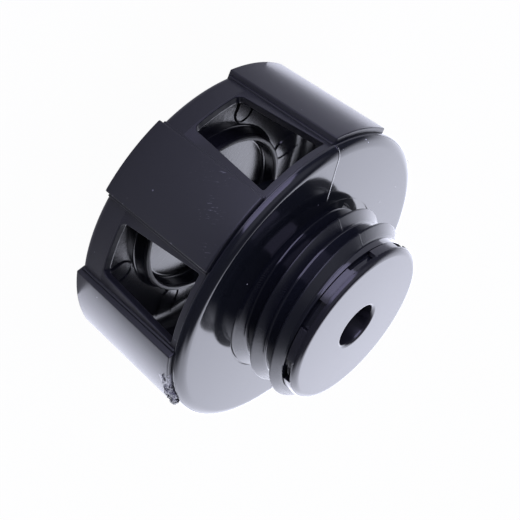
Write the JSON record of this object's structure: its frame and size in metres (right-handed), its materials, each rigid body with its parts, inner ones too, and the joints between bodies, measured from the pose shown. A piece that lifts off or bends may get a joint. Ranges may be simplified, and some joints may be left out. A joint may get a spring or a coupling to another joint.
{
  "type": "hydraulic filler cap",
  "caption": "Filler and breather cap for a hydraulic tank: gripping knob with vent windows, threaded spigot and a sprung relief valve behind a funnel hole.",
  "frame": {"origin": "centre of the knob's head face, on which the cap stands", "axes": "+Z along the cap's axis from the knob towards the threaded spigot; one gripping pad is centred on -Y"},
  "size_m": [0.08, 0.0824, 0.0518],
  "materials": {
    "knob_plastic": "moulded black, satin on the pads and glossy inside",
    "base_plastic": "moulded black, glossy",
    "end_cap_plastic": "moulded black, glossy",
    "valve_plastic": "natural moulded plastic",
    "seal_rubber": "matt black rubber",
    "umbrella_rubber": "matt black rubber",
    "spring_steel": "drawn spring wire",
    "filter_foam": "open-cell foam",
    "retainer_plastic": "moulded black"
  },
  "bodies": {
    "housing": {"knob": "knob_plastic", "base": "base_plastic", "end_cap": "end_cap_plastic", "relief_spring": "spring_steel", "filter_element": "filter_foam", "filter_retainer": "retainer_plastic"},
    "relief_valve": {"relief_valve_plate": "valve_plastic", "relief_valve_seal": "seal_rubber", "intake_valve": "umbrella_rubber"}
  },
  "joints": [
    {"name": "relief_valve_lift", "type": "slide", "parent": "housing", "child": "relief_valve", "axis": [0, 0, 1], "range_m": [-0.0025, 0], "stiffness_N_per_m": 800, "springref_m": 0.003, "deforming": ["relief_spring"]}
  ]
}
